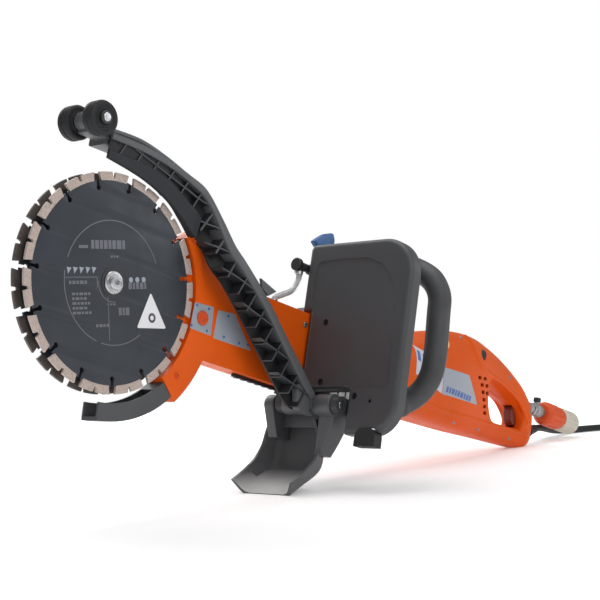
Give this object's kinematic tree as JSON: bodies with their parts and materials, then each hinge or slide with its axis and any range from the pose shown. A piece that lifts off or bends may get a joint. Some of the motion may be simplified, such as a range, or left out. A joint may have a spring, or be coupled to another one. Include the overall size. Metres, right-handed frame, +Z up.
{
  "type": "electric concrete cut-off saw",
  "caption": "Hand-held electric deep-cut concrete saw: twin diamond blades on a slim belt-drive arm, roller guard, splash panel, bow handle, rear D-handle, water feed and mains cord.",
  "frame": {"origin": "on the ground under the middle of the machine's box, the cord left out", "axes": "+X from the blades to the rear handle, level; +Y to the far side, away from the panel; +Z up, with the saw resting on its chute and its rear sole"},
  "size_m": [1.253, 0.2069, 0.432],
  "materials": {
    "orange_paint": "satin powder coat",
    "orange_plastic": "semi-gloss moulded",
    "dark_plastic": "satin, lightly grained",
    "dark_metal": "satin",
    "black_plastic": "matt, grained",
    "handle_rubber": "matt",
    "cord_rubber": "matt, slightly shiny",
    "belt_rubber": "matt",
    "blade_steel": "dark satin core, bare ground rim",
    "steel": "machined",
    "motor_iron": "lacquered laminations",
    "cast_alloy": "as cast",
    "copper": "turned",
    "carbon": "matt",
    "screw_red": "satin",
    "cream_plastic": "semi-gloss",
    "blue_plastic": "semi-gloss",
    "clear_hose": "clear, slightly milky",
    "grey_plastic": "satin",
    "red_orange_plastic": "semi-gloss"
  },
  "bodies": {
    "machine": {"arm_housing": "orange_paint", "arm_cover": "orange_paint", "arc_guard": "orange_paint", "body_shell_near": "orange_plastic", "body_shell_far": "orange_plastic", "guard_tail": "dark_plastic", "splash_panel": "dark_plastic", "hinge_bracket": "dark_metal", "arm_wear_strip": "black_plastic", "speed_electronics": "black_plastic", "switch_module": "black_plastic", "water_valve": "black_plastic", "plug": "black_plastic", "panel_foot": "handle_rubber", "front_handle": "handle_rubber", "strain_relief": "cord_rubber", "power_cord": "cord_rubber", "cord_coil": "cord_rubber", "drive_belt": "belt_rubber", "hub_bearing_near": "steel", "hub_bearing_far": "steel", "belt_tensioner": "steel", "shaft_bearing_near": "steel", "shaft_bearing_far": "steel", "front_bearing": "steel", "rear_bearing": "steel", "hinge_pin": "steel", "stator": "motor_iron", "gear_housing": "cast_alloy", "panel_mount": "cast_alloy", "carbon_brush_near": "carbon", "carbon_brush_far": "carbon", "arc_screw": "screw_red", "indicator_cap": "cream_plastic", "arm_hose": "clear_hose", "inlet_nipple": "grey_plastic", "quick_connector": "red_orange_plastic"},
    "blades": {"blade_near": "blade_steel", "blade_far": "blade_steel", "driven_pulley": "steel", "blade_bolt_near": "steel", "blade_bolt_far": "steel"},
    "pulley": {"pulley_shaft": "steel", "drive_pulley": "steel", "bevel_gear": "steel"},
    "rotor": {"rotor_shaft": "steel", "bevel_pinion": "steel", "fan": "black_plastic", "rotor_core": "motor_iron", "commutator": "copper"},
    "guard": {"roller_guard": "dark_plastic", "guard_axle": "steel"},
    "roller_near": {"guard_roller_near": "handle_rubber"},
    "roller_far": {"guard_roller_far": "handle_rubber"},
    "chute": {"debris_chute": "dark_plastic"},
    "trigger_lever": {"trigger": "black_plastic"},
    "lock": {"lock_button": "black_plastic"},
    "water_lever": {"valve_lever": "blue_plastic"},
    "inlet_tap": {"inlet_knob": "black_plastic"},
    "collar": {"connector_collar": "cream_plastic"}
  },
  "joints": [
    {"name": "blade_spin", "type": "hinge", "parent": "machine", "child": "blades", "pos_m": [-0.40463, 0.0575, 0.24591], "axis": [0, 1, 0], "continuous": true},
    {"name": "pulley_spin", "type": "hinge", "parent": "machine", "child": "pulley", "pos_m": [-0.04294, 0.0575, 0.15746], "axis": [0, 1, 0], "continuous": true},
    {"name": "rotor_spin", "type": "hinge", "parent": "machine", "child": "rotor", "pos_m": [-0.01605, 0.0575, 0.14965], "axis": [0.9603, 0, -0.2791], "continuous": true},
    {"name": "guard_swing", "type": "hinge", "parent": "machine", "child": "guard", "pos_m": [-0.13496, 0.0575, 0.09881], "axis": [0, 1, 0], "range_deg": [0, 40], "stiffness_Nm_per_rad": 1.2, "springref_deg": -22.92},
    {"name": "roller_near_spin", "type": "hinge", "parent": "guard", "child": "roller_near", "pos_m": [-0.42049, 0.038, 0.41349], "axis": [0, 1, 0], "continuous": true},
    {"name": "roller_far_spin", "type": "hinge", "parent": "guard", "child": "roller_far", "pos_m": [-0.42049, 0.077, 0.41349], "axis": [0, 1, 0], "continuous": true},
    {"name": "chute_swing", "type": "hinge", "parent": "machine", "child": "chute", "pos_m": [-0.13496, 0.0575, 0.09881], "axis": [0, 1, 0], "range_deg": [-20, 0]},
    {"name": "trigger_pull", "type": "hinge", "parent": "machine", "child": "trigger_lever", "pos_m": [0.35936, 0.0575, 0.05825], "axis": [0, 1, 0], "range_deg": [-8, 0], "stiffness_Nm_per_rad": 2, "springref_deg": 14.32},
    {"name": "lock_press", "type": "slide", "parent": "machine", "child": "lock", "axis": [0, 1, 0], "range_m": [0, 0.004], "stiffness_N_per_m": 400, "springref_m": -0.004},
    {"name": "water_lever_turn", "type": "hinge", "parent": "machine", "child": "water_lever", "pos_m": [-0.04718, 0.0635, 0.28262], "axis": [0.2791, 0, 0.9603], "range_deg": [0, 90]},
    {"name": "inlet_tap_turn", "type": "hinge", "parent": "machine", "child": "inlet_tap", "pos_m": [0.42436, 0.0555, 0.06227], "axis": [0.2791, 0, 0.9603], "range_deg": [0, 90]},
    {"name": "collar_slide", "type": "slide", "parent": "machine", "child": "collar", "axis": [0.9603, 0, -0.2791], "range_m": [0, 0.004], "stiffness_N_per_m": 600, "springref_m": -0.004}
  ],
  "couplings": [
    {"joint": "pulley_spin", "follows": "blade_spin", "ratio": 0.86364},
    {"joint": "rotor_spin", "follows": "blade_spin", "ratio": -3.3636}
  ]
}
